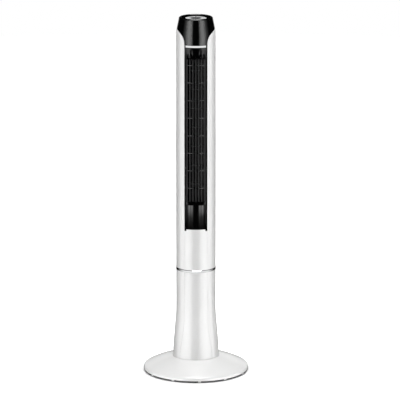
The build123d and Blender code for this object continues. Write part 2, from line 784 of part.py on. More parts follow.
with BuildPart() as front_grille:
    add(front_strip(strip_half, insert_bottom, trim_bottom + trim_height - fit, 0, insert_thick))
    with BuildSketch(Plane.XZ):
        with Locations((0, trim_bottom)):
            Rectangle(2 * (bar_half + fit), trim_height, align=(Align.CENTER, Align.MIN))
        with Locations((0, grille_bottom)):
            Rectangle(2 * window_half, grille_top - grille_bottom, align=(Align.CENTER, Align.MIN))
    extrude(amount=body_radius + 5, mode=Mode.SUBTRACT)
    with BuildSketch(Plane.XY.offset(insert_bottom)):
        Circle(body_radius + 5)
        Circle(body_radius - panel_recess_depth, mode=Mode.SUBTRACT)
        with Locations((0, -body_radius)):
            Rectangle(2 * (black_panel_half + fit), body_radius, mode=Mode.INTERSECT)
    extrude(amount=lower_panel_top - insert_bottom, mode=Mode.SUBTRACT)
    with BuildSketch(Plane.XY.offset(grille_bottom - 1)):
        with Locations(*slat_places()):
            Rectangle(slat_thick, slat_deep)
    extrude(amount=grille_top - grille_bottom + 2)
    rib_half = math.degrees(math.asin((window_half + 1) / (body_radius - slat_back)))
    for level in rib_levels:
        with BuildSketch(Plane.XY.offset(level - rib_tall / 2)):
            add(band(body_radius - slat_back - 0.6 - rib_deep, body_radius - slat_back - 0.6, -90, rib_half))
        extrude(amount=rib_tall)
save(front_grille, "front_grille")

with BuildPart() as lower_black_panel:
    add(front_strip(black_panel_half, lower_panel_bottom, lower_panel_top - fit, 0.2, 1.9))
save(lower_black_panel, "lower_black_panel")

with BuildPart() as trim_bar:
    add(front_strip(bar_half, trim_bottom, trim_bottom + trim_height, -0.4, 3.4))
save(trim_bar, "trim_bar")

# ---------------------------------------------------------------- head cap
ledge_radius = opening_radius - 4.0
with BuildPart() as head_cap:
    with BuildSketch(Plane.XZ):
        with BuildLine():
            low = trim_bottom + trim_height
            rim_start = total_height - rim_round
            under = panel_top - panel_thick - 2.5
            top_corner = (head_radius(rim_start) - rim_round + 1.2, total_height)
            turn = (head_radius(rim_start) - 1.2, total_height - 1.5)
            head_side(low, rim_start, 0.0)
            ThreePointArc((head_radius(rim_start), rim_start), turn, top_corner)
            Polyline(
                top_corner,
                (opening_radius + 1.2, total_height),
                (opening_radius, total_height - 1.2),
                (opening_radius, panel_top - panel_thick),
                (ledge_radius, panel_top - panel_thick),
                (ledge_radius, under),
                (head_radius(under, wall), under),
            )
            head_side(low, under, wall)
            Line((inner_radius, low), (body_radius, low))
        make_face()
    revolve(axis=Axis.Z)
    with BuildSketch(Plane.XY.offset(cap_seam)):
        with Locations((0, 0)):
            Rectangle(3 * body_radius, 2 * body_radius, align=(Align.CENTER, Align.MIN))
    extrude(amount=-total_height / 4, mode=Mode.SUBTRACT)
    with BuildSketch(Plane.XZ):
        for side in (-1, 1):
            with BuildLine():
                side_top = head_radius(cap_seam)
                shoulder_line(side)
                Polyline(
                    (side * side_top, cap_seam),
                    (side * 90, cap_seam),
                    (side * 90, trim_bottom),
                    (side * strip_half, trim_bottom),
                )
            make_face()
    extrude(amount=body_radius + 5, mode=Mode.SUBTRACT)
save(head_cap, "head_cap")

# ---------------------------------------------------------------- control panel and keys
split_half = 1.2            # half of the dark split between two keys
key_room = 0.4
flange_top = panel_top - panel_thick - 0.3
board_top = panel_top - 11.0
switch_top = board_top + 4.2
board_radius = 40.0
post_places = on_circle(37.0, (90, 210, 330))
key_places = on_circle(25.0, (45, 135, 225, 315))


def key_sector(turn, grow=0.0):
    """One quarter of the key ring, cut with straight splits, turned into its quadrant."""
    with BuildSketch() as sector:
        ring(button_inner - grow, button_outer + grow)
        edge = split_half - grow
        with Locations((edge, edge)):
            Rectangle(2 * button_outer, 2 * button_outer, align=(Align.MIN, Align.MIN), mode=Mode.INTERSECT)
    return sector.sketch.rotate(Axis.Z, turn)


with BuildPart() as control_panel:
    with BuildSketch(Plane.XY.offset(panel_top)):
        Circle(opening_radius - key_room)
        for turn in (0, 90, 180, 270):
            add(key_sector(turn, key_room), mode=Mode.SUBTRACT)
    extrude(amount=-panel_thick)
    with BuildSketch(Plane.XY.offset(board_top)):
        with Locations(*post_places):
            ring(1.1, 2.5)
    extrude(amount=panel_top - panel_thick - board_top)
save(control_panel, "control_panel")

with BuildPart() as display_lens:
    with BuildSketch(Plane.XY.offset(panel_top)):
        Circle(button_inner - 1.2)
    extrude(amount=1.5)
    chamfer(display_lens.edges().group_by(Axis.Z)[-1], length=0.4)
save(display_lens, "display_lens")

for name, turn in (("back_right", 0), ("back_left", 90), ("front_left", 180), ("front_right", 270)):
    with BuildPart() as key:
        with BuildSketch(Plane.XY.offset(flange_top)):
            add(key_sector(turn))
        extrude(amount=button_top - flange_top)
        chamfer(key.edges().group_by(Axis.Z)[-1], length=0.4)
        with BuildSketch(Plane.XY.offset(flange_top)):
            add(key_sector(turn, key_room + 0.3))
        extrude(amount=-1)
        with BuildSketch(Plane.XY.offset(flange_top - 1)):
            with Locations(*on_circle(25.0, (turn + 45,))):
                Circle(2.2)
        extrude(amount=-(flange_top - 1 - switch_top - button_travel - 0.2))
    save(key, f"key_{name}")

with BuildPart() as control_board:
    with BuildSketch(Plane.XY.offset(board_top)):
        Circle(board_radius)
        with Locations(*post_places):
            Circle(1.3, mode=Mode.SUBTRACT)
    extrude(amount=-1.6)
save(control_board, "control_board")

with BuildPart() as control_board_screws:
    under_board = Plane(origin=(0, 0, board_top - 1.6), z_dir=(0, 0, -1), x_dir=(1, 0, 0))
    places = [(x, -y) for x, y in post_places]
    add(screw_set(under_board, places, 2.2, 1.5, 1.0, 7))
save(control_board_screws, "control_board_screws")

with BuildPart() as key_switches:
    with BuildSketch(Plane.XY.offset(board_top)):
        with Locations(*key_places):
            Rectangle(6, 6)
    extrude(amount=3.4)
    with BuildSketch(Plane.XY.offset(board_top + 3.4)):
        with Locations(*key_places):
            Circle(1.6)
    extrude(amount=switch_top - board_top - 3.4)
save(key_switches, "key_switches")

# ---------------------------------------------------------------- fan motor and its bracket
front_flat = -40.0          # inner plates stop here, behind the grille
bearing_cup = 14.5
bracket_hole = 13.0
motor_screw_places = on_circle(30.0, (45, 135, 225, 315), centre=(0, fan_offset))


def inner_plate(hole):
    """Outline of a plate that closes the head's section, with a hole on the fan's axis."""
    with BuildSketch() as plate:
        Circle(plate_radius)
        with Locations((0, front_flat)):
            Rectangle(2 * body_radius, body_radius, align=(Align.CENTER, Align.MAX), mode=Mode.SUBTRACT)
        with Locations((0, fan_offset)):
            Circle(hole, mode=Mode.SUBTRACT)
    return plate.sketch


with BuildPart() as motor_bracket:
    with BuildSketch(Plane.XY.offset(bracket_level)):
        add(inner_plate(bracket_hole))
        with Locations(*motor_screw_places):
            Circle(2.3, mode=Mode.SUBTRACT)
    extrude(amount=bracket_thick)
save(motor_bracket, "motor_bracket")

motor_shell = 2.0
with BuildPart() as motor_can:
    with BuildSketch(Plane.XY.offset(motor_bottom)):
        with Locations((0, fan_offset)):
            Circle(motor_radius)
    extrude(amount=motor_height)
    chamfer(motor_can.edges().group_by(Axis.Z)[0], length=3)
    with BuildSketch(Plane.XY.offset(motor_bottom + motor_shell)):
        with Locations((0, fan_offset)):
            Circle(motor_radius - motor_shell - 1)
    extrude(amount=motor_height - 3 * motor_shell, mode=Mode.SUBTRACT)
    with BuildSketch(Plane.XY.offset(motor_bottom)):
        with Locations((0, fan_offset)):
            Circle(shaft_radius + running)
    extrude(amount=motor_height, mode=Mode.SUBTRACT)
    with BuildSketch(Plane.XY.offset(bracket_level)):
        with Locations(*motor_screw_places):
            Circle(2.1)
    extrude(amount=-2 * motor_shell, mode=Mode.SUBTRACT)
save(motor_can, "motor_can")

rotor_radius, pole_count = 20.0, 8
with BuildPart() as motor_stator:
    with BuildSketch(Plane.XY.offset(motor_bottom + motor_shell)):
        with Locations((0, fan_offset)):
            ring(rotor_radius + 0.8, motor_radius - motor_shell - 1.3)
        with Locations(*on_circle(rotor_radius + 5.5, range(0, 360, 360 // pole_count), (0, fan_offset))):
            Circle(3, mode=Mode.SUBTRACT)
    extrude(amount=motor_height - 6 * motor_shell)
save(motor_stator, "motor_stator")

with BuildPart() as motor_screws:
    add(screw_set(Plane.XY.offset(bracket_level + bracket_thick), motor_screw_places, 3.8, 2.3, 2.0, 7))
save(motor_screws, "motor_screws")

# ---------------------------------------------------------------- air path walls
mouth_half, mouth_y = 33.0, -inner_radius + 13.5    # where the two walls meet the grille
with BuildPart() as scroll_wall:
    with BuildSketch(Plane.XY.offset(bracket_level + bracket_thick)):
        with BuildLine():
            scroll = CenterArc((-3, 2), impeller_radius + 8.5, 110, 115)
            Line(scroll @ 1, (-mouth_half, mouth_y))
        trace(line_width=1.6)
    extrude(amount=bearing_level - bracket_level - bracket_thick)
save(scroll_wall, "scroll_wall")

with BuildPart() as tongue_wall:
    with BuildSketch(Plane.XY.offset(bracket_level + bracket_thick)):
        with BuildLine():
            nose = (impeller_radius - 6.0, -22.0)
            Polyline((mouth_half, mouth_y), nose, (inner_radius - 9, -10))
        trace(line_width=1.6)
    extrude(amount=bearing_level - bracket_level - bracket_thick)
save(tongue_wall, "tongue_wall")

grille_bar, grille_pitch = 2.4, 8.0
with BuildPart() as rear_grille:
    half = rear_window_half - math.degrees(fit / body_radius)
    tall = rear_window_top - rear_window_bottom - seam
    outer, inner = body_radius - 0.5, body_radius - 3.5
    with BuildSketch(Plane.XY.offset(rear_window_bottom)):
        for middle in (-half + 1.5, -half / 3, half / 3, half - 1.5):
            add(band(inner, outer, 90 + middle, 1.5))
    extrude(amount=tall)
    bars = round((tall - grille_bar) / grille_pitch)
    for k in range(bars + 1):
        with BuildSketch(Plane.XY.offset(rear_window_bottom + k * (tall - grille_bar) / bars)):
            add(band(inner + 0.6, outer - 0.3, 90, half - 0.5))
        extrude(amount=grille_bar)
save(rear_grille, "rear_grille")

# ---------------------------------------------------------------- upper bearing
bush_length = 9.0
with BuildPart() as bearing_plate:
    with BuildSketch(Plane.XY.offset(bearing_level)):
        add(inner_plate(8.0))
    extrude(amount=bearing_thick)
    with BuildSketch(Plane.XY.offset(bearing_level + bearing_thick)):
        with Locations((0, fan_offset)):
            ring(bearing_cup - 2.4, bearing_cup)
    extrude(amount=bush_length - 1)
save(bearing_plate, "bearing_plate")

with BuildPart() as bearing_rubber:
    with BuildSketch(Plane.XY.offset(bearing_level + bearing_thick)):
        with Locations((0, fan_offset)):
            ring(6.1, bearing_cup - 2.5)
    extrude(amount=bush_length)
save(bearing_rubber, "bearing_rubber")

with BuildPart() as bearing_bush:
    with BuildSketch(Plane.XY.offset(bearing_level + bearing_thick)):
        with Locations((0, fan_offset)):
            ring(stub_radius + running, 6.0)
    extrude(amount=bush_length + 1.5)
    with BuildSketch(Plane.XY.offset(bearing_level + bearing_thick + bush_length)):
        with Locations((0, fan_offset)):
            ring(stub_radius + running, 9.0)
    extrude(amount=1.5)
save(bearing_bush, "bearing_bush")

# ---------------------------------------------------------------- electronics in the foot of the head
board_tall, board_half = 110.0, 28.0
board_face = -14.0
with BuildPart() as main_board:
    with BuildSketch(Plane.XY.offset(turntable_top)):
        with Locations((0, board_face)):
            Rectangle(2 * board_half, 1.6, align=(Align.CENTER, Align.MIN))
    extrude(amount=board_tall)
save(main_board, "main_board")

with BuildPart() as board_parts:
    for x, level, wide, tall, deep in ((-13, 20, 24, 26, 18), (14, 22, 18, 14, 13), (14, 50, 20, 16, 16),
                                       (-14, 62, 14, 12, 9), (0, 88, 44, 10, 8)):
        with BuildSketch(Plane.XZ.offset(-board_face)):
            with Locations((x, turntable_top + level)):
                Rectangle(wide, tall)
        extrude(amount=deep)
save(board_parts, "board_parts")

# ================================================================ IMPELLER
blade_ring = impeller_radius - blade_depth / 2
with BuildPart() as impeller:
    with BuildSketch(Plane.XY.offset(impeller_bottom)):
        with Locations((0, fan_offset)):
            Circle(impeller_radius)
            Circle(10.0, mode=Mode.SUBTRACT)
    extrude(amount=disc_thick)
    with BuildSketch(Plane.XY.offset(impeller_top)):
        with Locations((0, fan_offset)):
            Circle(impeller_radius)
    extrude(amount=-disc_thick)
    disc_step = (impeller_top - impeller_bottom - disc_thick) / (disc_count - 1)
    for k in range(1, disc_count - 1):
        with BuildSketch(Plane.XY.offset(impeller_bottom + k * disc_step)):
            with Locations((0, fan_offset)):
                ring(impeller_radius - blade_depth - 1.5, impeller_radius)
        extrude(amount=disc_thick)
    with BuildSketch(Plane.XY.offset(impeller_bottom + disc_thick / 2)):
        with Locations((0, fan_offset)):
            with PolarLocations(blade_ring, blade_count):
                Rectangle(blade_chord, blade_thick, rotation=blade_lean)
    extrude(amount=impeller_top - impeller_bottom - disc_thick)
save(impeller, "impeller")

with BuildPart() as impeller_coupling:
    with BuildSketch(Plane.XY.offset(impeller_bottom - 3)):
        with Locations((0, fan_offset)):
            ring(shaft_radius, 10.0)
    extrude(amount=disc_thick + 20)
    with BuildSketch(Plane.XY.offset(impeller_bottom + disc_thick)):
        with Locations((0, fan_offset)):
            ring(shaft_radius, 14.0)
    extrude(amount=2.5)
save(impeller_coupling, "impeller_coupling")

with BuildPart() as motor_shaft:
    with BuildSketch(Plane.XY.offset(motor_bottom - 2)):
        with Locations((0, fan_offset)):
            Circle(shaft_radius)
    extrude(amount=impeller_bottom + disc_thick + 15 - motor_bottom + 2)
save(motor_shaft, "motor_shaft")

with BuildPart() as motor_rotor:
    with BuildSketch(Plane.XY.offset(motor_bottom + 2 * motor_shell)):
        with Locations((0, fan_offset)):
            ring(shaft_radius, rotor_radius)
    extrude(amount=motor_height - 8 * motor_shell)
save(motor_rotor, "motor_rotor")

with BuildPart() as stub_shaft:
    with BuildSketch(Plane.XY.offset(impeller_top)):
        with Locations((0, fan_offset)):
            Circle(9.0)
    extrude(amount=2)
    with BuildSketch(Plane.XY.offset(impeller_top)):
        with Locations((0, fan_offset)):
            Circle(stub_radius)
    extrude(amount=bearing_level + bearing_thick + bush_length + 3 - impeller_top)
save(stub_shaft, "stub_shaft")
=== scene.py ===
# %% [markdown]
# A tower fan: a round weighted base, a pedestal, and a slim head that swings on it behind a column of slats.
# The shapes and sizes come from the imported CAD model, which is loaded first and never moved.
# This lesson adds what a CAD model lacks: finishes, light, a camera, and finer pieces where the eye goes.

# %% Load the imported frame
import bpy
import bmesh
import json
import math
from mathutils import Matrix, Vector


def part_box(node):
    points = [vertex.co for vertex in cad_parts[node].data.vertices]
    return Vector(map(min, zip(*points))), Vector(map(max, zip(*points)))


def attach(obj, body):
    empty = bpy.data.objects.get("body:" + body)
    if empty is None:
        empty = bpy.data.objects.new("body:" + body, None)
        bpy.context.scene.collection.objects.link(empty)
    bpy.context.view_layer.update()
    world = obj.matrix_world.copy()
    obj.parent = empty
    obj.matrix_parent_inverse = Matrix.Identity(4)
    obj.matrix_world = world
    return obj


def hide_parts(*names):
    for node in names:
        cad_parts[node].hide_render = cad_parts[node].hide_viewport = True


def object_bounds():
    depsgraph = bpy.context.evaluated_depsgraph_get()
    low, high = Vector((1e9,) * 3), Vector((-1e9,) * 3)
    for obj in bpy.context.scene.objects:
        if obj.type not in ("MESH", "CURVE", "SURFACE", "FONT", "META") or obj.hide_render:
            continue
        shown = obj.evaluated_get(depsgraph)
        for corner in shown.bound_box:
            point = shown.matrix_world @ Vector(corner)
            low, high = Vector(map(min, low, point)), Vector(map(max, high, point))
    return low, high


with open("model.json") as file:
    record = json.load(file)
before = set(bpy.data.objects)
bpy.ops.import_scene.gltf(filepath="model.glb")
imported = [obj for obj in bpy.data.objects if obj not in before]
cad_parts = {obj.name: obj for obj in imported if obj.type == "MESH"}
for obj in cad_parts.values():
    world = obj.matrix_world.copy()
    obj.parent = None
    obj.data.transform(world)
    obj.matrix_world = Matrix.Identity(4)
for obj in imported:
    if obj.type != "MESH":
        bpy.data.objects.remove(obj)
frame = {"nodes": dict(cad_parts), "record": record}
cad_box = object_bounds()
nodes = frame["nodes"]
MM = 0.001
tower_top = cad_box[1].z
print("pieces from CAD:", len(nodes), "| height in m:", round(tower_top, 4))

# %% [markdown]
# The camera stands ten metres off with a very long lens, as is usual for a shop's catalogue, so that the
# upright lines of the tower stay parallel. It looks down a little, which shows the ring of keys on top.

# %% Camera
def add_camera(distance, height, pitch, lens, aside):
    data = bpy.data.cameras.new("long_lens")
    data.lens = lens
    data.sensor_width = 36
    data.clip_start, data.clip_end = 0.5, 60
    camera = bpy.data.objects.new("long_lens", data)
    camera.location = (aside, -distance, height)
    camera.rotation_euler = (math.radians(90 - pitch), 0, 0)
    bpy.context.scene.collection.objects.link(camera)
    bpy.context.scene.camera = camera
    return camera

camera = add_camera(distance=10.6, height=3.07, pitch=13.294, lens=304.0, aside=0.0132)
print("camera looks down by 13.3 degrees from", tuple(round(v, 2) for v in camera.location))

# %% [markdown]
# A studio sweep is a pale floor and a bright surround. The floor is one disc, with the world behind it.
# The world lights the fan evenly from all sides, but glossy surfaces see it dark. Their reflections then come
# only from the tall cards that stand round the fan, which is how a studio draws edges on shiny plastic.

# %% Floor and surround
def link(name, mesh):
    """A new object at the origin, unturned and unscaled."""
    piece = bpy.data.objects.new(name, mesh)
    bpy.context.scene.collection.objects.link(piece)
    return piece

def plain_material(name, colour, roughness):
    material = bpy.data.materials.new(name)
    material.use_nodes = True
    shader = material.node_tree.nodes["Principled BSDF"]
    shader.inputs["Base Color"].default_value = (*colour, 1)
    shader.inputs["Roughness"].default_value = roughness
    return material

def add_floor(radius, near, far):
    """White paper that looks brighter beyond the shadow of the base, so that it never reads as grey."""
    shape = bmesh.new()
    bmesh.ops.create_circle(shape, cap_ends=True, radius=radius, segments=96)
    mesh = bpy.data.meshes.new("floor")
    shape.to_mesh(mesh)
    floor = link("floor", mesh)
    paper = plain_material("floor_paper", (0.95, 0.95, 0.95), 0.95)
    shader = paper.node_tree.nodes["Principled BSDF"]
    shader.inputs["Emission Color"].default_value = (1, 1, 1, 1)
    away = paper.node_tree.nodes.new("ShaderNodeVectorMath")
    away.operation = "LENGTH"
    glow = paper.node_tree.nodes.new("ShaderNodeMapRange")
    glow.interpolation_type = "SMOOTHSTEP"
    glow.inputs["From Min"].default_value = near
    glow.inputs["From Max"].default_value = far
    glow.inputs["To Max"].default_value = 0.5
    where = paper.node_tree.nodes.new("ShaderNodeTexCoord")
    paper.node_tree.links.new(where.outputs["Object"], away.inputs[0])
    paper.node_tree.links.new(away.outputs["Value"], glow.inputs["Value"])
    seen = paper.node_tree.nodes.new("ShaderNodeMath")
    seen.operation = "MULTIPLY"
    path = paper.node_tree.nodes.new("ShaderNodeLightPath")
    paper.node_tree.links.new(glow.outputs["Result"], seen.inputs[0])
    paper.node_tree.links.new(path.outputs["Is Camera Ray"], seen.inputs[1])
    paper.node_tree.links.new(seen.outputs["Value"], shader.inputs["Emission Strength"])
    floor.data.materials.append(paper)
    floor.visible_glossy = False
    return floor

def add_surround(seen, soft, sheen):
    world = bpy.data.worlds.new("surround")
    bpy.context.scene.world = world
    world.use_nodes = True
    tree = world.node_tree
    path = tree.nodes.new("ShaderNodeLightPath")
    for_light = tree.nodes.new("ShaderNodeMix")
    for_light.inputs["A"].default_value = soft
    for_light.inputs["B"].default_value = sheen
    for_eye = tree.nodes.new("ShaderNodeMix")
    for_eye.inputs["B"].default_value = seen
    tree.links.new(path.outputs["Is Glossy Ray"], for_light.inputs["Factor"])
    tree.links.new(path.outputs["Is Camera Ray"], for_eye.inputs["Factor"])
    tree.links.new(for_light.outputs["Result"], for_eye.inputs["A"])
    tree.links.new(for_eye.outputs["Result"], tree.nodes["Background"].inputs["Strength"])
    tree.nodes["Background"].inputs["Color"].default_value = (1, 1, 1, 1)

floor = add_floor(radius=6.0, near=0.17, far=0.25)
add_surround(seen=1.0, soft=0.56, sheen=0.003)
view = bpy.context.scene.view_settings
view.view_transform = "Standard"
view.look = "None"
print("floor and surround ready")

# %% [markdown]
# Each card is a sheet bent round the fan that glows towards it. Its glow changes across the sheet, so a
# reflection can have one crisp edge and one soft edge, like a bank of cloth-covered lamps. Cards show only
# in reflections, and are clear, so that one doesn't hide the next. Light linking gives a card to some pieces
# alone, which is how each kind of plastic gets its own streaks.

# %% Reflection cards
record = frame["record"]
slot_of = {item["node"]: item["material_slot"] for item in record["subparts"]}

def only_on(light, name, pieces):
    """Lets a light or a card reach these pieces and no others."""
    group = bpy.data.collections.new(name)
    for piece in pieces:
        group.objects.link(piece)
    light.light_linking.receiver_collection = group

def keep_off(light, name, pieces):
    """Lets a light or a card reach everything except these pieces."""
    only_on(light, name, pieces)
    for item in light.light_linking.receiver_collection.collection_objects:
        item.light_linking.link_state = "EXCLUDE"

def bent_sheet(name, start, end, low, high, reach, steps=30):
    """A sheet between two directions, in degrees from the front, with how far across it each point is."""
    shape = bmesh.new()
    lines = []
    for k in range(steps + 1):
        turn = math.radians(start + (end - start) * k / steps)
        x, y = reach * math.sin(turn), -reach * math.cos(turn)
        lines.append([shape.verts.new((x, y, z)) for z in (low, high)])
    for a, b in zip(lines, lines[1:]):
        shape.faces.new((a[0], a[1], b[1], b[0]))
    mesh = bpy.data.meshes.new(name)
    shape.to_mesh(mesh)
    across = mesh.attributes.new("across", "FLOAT", "POINT")
    across.data.foreach_set("value", [k / steps for k in range(steps + 1) for _ in (0, 1)])
    return mesh

def add_card(name, start, end, glow, shades, low=-1.0, high=2.2, reach=3.0):
    """A glowing card. The shades are pairs of place across it, 0 to 1, and part of the full glow."""
    card = link(name, bent_sheet(name, start, end, low, high, reach))
    material = bpy.data.materials.new(name)
    material.use_nodes = True
    tree = material.node_tree
    tree.nodes.clear()
    where = tree.nodes.new("ShaderNodeAttribute")
    where.attribute_name = "across"
    ramp = tree.nodes.new("ShaderNodeValToRGB")
    stops = ramp.color_ramp.elements
    for place, _ in shades[1:-1]:
        stops.new(place)
    for stop, (_, part) in zip(stops, shades):
        stop.color = (part, part, part, 1)
    lamp = tree.nodes.new("ShaderNodeEmission")
    lamp.inputs["Strength"].default_value = glow
    out = tree.nodes.new("ShaderNodeOutputMaterial")
    tree.links.new(where.outputs["Fac"], ramp.inputs["Fac"])
    clear = tree.nodes.new("ShaderNodeBsdfTransparent")
    both = tree.nodes.new("ShaderNodeAddShader")
    tree.links.new(ramp.outputs["Color"], lamp.inputs["Color"])
    tree.links.new(lamp.outputs["Emission"], both.inputs[0])
    tree.links.new(clear.outputs["BSDF"], both.inputs[1])
    tree.links.new(both.outputs["Shader"], out.inputs["Surface"])
    card.data.materials.append(material)
    card.visible_camera = False
    card.visible_diffuse = False
    card.visible_shadow = False
    return card

side_shades = ((0.0, 0.12), (0.1, 0.7), (0.27, 1.0), (0.38, 0.64), (0.51, 0.16), (0.7, 0.0), (1.0, 0.0))
shell_shades = ((0.0, 0.0), (0.2, 0.9), (0.4, 1.0), (0.6, 0.8), (0.85, 0.6), (1.0, 0.2))
panel_shades = ((0.0, 0.0), (0.2, 0.9), (0.4, 0.4), (0.62, 1.0), (0.8, 0.25), (1.0, 0.0))
shell_pieces = [piece for name, piece in nodes.items() if slot_of.get(name) == "white_shell"]
trim_pieces = [piece for name, piece in nodes.items() if slot_of.get(name) == "bright_trim"]
lower_panel = nodes["lower_black_panel"]
top_pieces = [piece for name, piece in nodes.items()
              if name.startswith("key_") or name in ("control_panel", "display_lens")]
side_cards = []
for side, word in ((-1, "left"), (1, "right")):
    side_card = add_card("card_" + word, side * 18, side * 108, 4.4, side_shades)
    keep_off(side_card, "not_on_" + word, trim_pieces + top_pieces + [lower_panel])
    side_cards.append(side_card)
    shell_card = add_card("shell_card_" + word, side * 45, side * 112, 4.2, shell_shades, reach=3.3)
    only_on(shell_card, "shells_" + word, shell_pieces)
    panel_card = add_card("panel_card_" + word, side * 14, side * 54, 5.0, panel_shades, low=0.31, reach=1.0)
    only_on(panel_card, "panel_" + word, [lower_panel])
add_card("card_behind", 150, 210, 0.75, ((0.0, 0.6), (0.45, 1.0), (1.0, 0.6)), low=0.02, high=1.55, reach=3.6)
trim_card = add_card("trim_card", -125, 125, 1.05, ((0.0, 0.0), (0.2, 0.9), (0.8, 0.9), (1.0, 0.0)), reach=2.8)
only_on(trim_card, "trims", trim_pieces)
print("cards on", len(shell_pieces), "white pieces and", len(trim_pieces), "bright pieces")

# %% [markdown]
# A broad lamp overhead gives the soft shadow under the base. A second, faint light shines straight down on the
# floor alone and lifts it a little. The paper's own glow does the rest, so that it reads as white from a
# hand's breadth beyond the base, and the shadow stays close to the rim.

# %% Lamps
def add_lamp(name, place, size, power):
    data = bpy.data.lights.new(name, "AREA")
    data.shape = "DISK"
    data.size = size
    data.energy = power
    lamp = bpy.data.objects.new(name, data)
    lamp.location = place
    aim = Vector((0, 0, 0.3)) - Vector(place)
    lamp.rotation_euler = aim.to_track_quat("-Z", "Y").to_euler()
    bpy.context.scene.collection.objects.link(lamp)
    return lamp

def add_bleach(strength):
    data = bpy.data.lights.new("bleach", "SUN")
    data.energy = strength
    data.angle = math.radians(3)
    lamp = bpy.data.objects.new("bleach", data)
    bpy.context.scene.collection.objects.link(lamp)
    only_on(lamp, "paper", [floor])
    return lamp

add_lamp("overhead", place=(0.1, -0.25, 3.0), size=1.6, power=62)
add_bleach(strength=0.2)
print("one lamp overhead and one for the paper")

# %% [markdown]
# Four effects turn up in many of the finishes: the fine grain of a mould, faint marks of handling, lines
# drawn by a brush or a lathe, and dust that settles on what faces up. Each is made once as a shader group,
# and every finish places it with its own value. They read object coordinates, so a pattern stays on its piece.

# %% Shader groups
def new_group(name, inputs, outputs):
    group = bpy.data.node_groups.new(name, "ShaderNodeTree")
    for label, value in inputs:
        group.interface.new_socket(label, in_out="INPUT", socket_type="NodeSocketFloat").default_value = value
    for label in outputs:
        group.interface.new_socket(label, in_out="OUTPUT", socket_type="NodeSocketFloat")
    return group, group.nodes.new("NodeGroupInput"), group.nodes.new("NodeGroupOutput")

def maths(tree, kind, a, b):
    """A maths node. Each side is a number or an output socket."""
    node = tree.nodes.new("ShaderNodeMath")
    node.operation = kind
    for socket, value in zip(node.inputs, (a, b)):
        if isinstance(value, (int, float)):
            socket.default_value = value
        else:
            tree.links.new(value, socket)
    return node.outputs[0]

def noise(tree, where, scale, detail, rough=0.5):
    node = tree.nodes.new("ShaderNodeTexNoise")
    node.inputs["Detail"].default_value = detail
    node.inputs["Roughness"].default_value = rough
    tree.links.new(where, node.inputs["Vector"])
    tree.links.new(scale, node.inputs["Scale"])
    return node.outputs["Fac"]

def stretch(tree, value, low, high):
    """Spreads the part of a value between two numbers over 0 to 1."""
    node = tree.nodes.new("ShaderNodeMapRange")
    node.inputs["From Min"].default_value = low
    node.inputs["From Max"].default_value = high
    tree.links.new(value, node.inputs["Value"])
    return node.outputs["Result"]

def grain_group():
    group, given, out = new_group("mould_grain", [("Size in mm", 0.5)], ["Height"])
    where = group.nodes.new("ShaderNodeTexCoord").outputs["Object"]
    scale = maths(group, "DIVIDE", 1000.0, given.outputs["Size in mm"])
    group.links.new(noise(group, where, scale, 2), out.inputs["Height"])
    return group

def marks_group():
    group, given, out = new_group("handling_marks", [("Size in mm", 60.0)], ["Mask"])
    where = group.nodes.new("ShaderNodeTexCoord").outputs["Object"]
    scale = maths(group, "DIVIDE", 1000.0, given.outputs["Size in mm"])
    patches = noise(group, where, scale, 5, 0.6)
    group.links.new(stretch(group, patches, 0.38, 0.66), out.inputs["Mask"])
    return group

def lines_group():
    """Fine lines that run level round an upright piece, as on turned or brushed metal."""
    group, given, out = new_group("drawn_lines", [("Size in mm", 0.3)], ["Height"])
    where = group.nodes.new("ShaderNodeTexCoord").outputs["Object"]
    squeeze = group.nodes.new("ShaderNodeMapping")
    squeeze.inputs["Scale"].default_value = (0.02, 0.02, 1.0)
    group.links.new(where, squeeze.inputs["Vector"])
    scale = maths(group, "DIVIDE", 1000.0, given.outputs["Size in mm"])
    group.links.new(noise(group, squeeze.outputs["Vector"], scale, 3), out.inputs["Height"])
    return group

def dust_group():
    group, given, out = new_group("settled_dust", [("Amount", 0.1), ("Size in mm", 11.0)], ["Mask"])
    where = group.nodes.new("ShaderNodeTexCoord").outputs["Object"]
    facing = group.nodes.new("ShaderNodeSeparateXYZ")
    group.links.new(group.nodes.new("ShaderNodeNewGeometry").outputs["Normal"], facing.inputs["Vector"])
    flat = stretch(group, facing.outputs["Z"], 0.55, 1.0)
    scale = maths(group, "DIVIDE", 1000.0, given.outputs["Size in mm"])
    cloud = stretch(group, noise(group, where, scale, 6, 0.7), 0.4, 0.75)
    settled = maths(group, "MULTIPLY", flat, cloud)
    group.links.new(maths(group, "MULTIPLY", settled, given.outputs["Amount"]), out.inputs["Mask"])
    return group

effects = {"grain": grain_group(), "marks": marks_group(), "lines": lines_group(), "dust": dust_group()}
print("shader groups:", ", ".join(effects))

# %% [markdown]
# A finish is one Principled shader. Marks make small shifts of colour and roughness, dust lightens what faces
# up, and grain or lines give the height of a bump. Numbers that don't vary are set on the shader itself.

# %% A finish from its parts
def place(tree, effect, value):
    node = tree.nodes.new("ShaderNodeGroup")
    node.node_tree = effects[effect]
    node.inputs[0].default_value = value
    return node.outputs[0]

def mix_colour(tree, factor, one, other):
    node = tree.nodes.new("ShaderNodeMix")
    node.data_type = "RGBA"
    slots = [s for s in node.inputs if s.type == "RGBA"]
    for socket, value in zip(slots, (one, other)):
        if isinstance(value, tuple):
            socket.default_value = (*value, 1)
        else:
            tree.links.new(value, socket)
    tree.links.new(factor, node.inputs[0])
    return [s for s in node.outputs if s.type == "RGBA"][0]

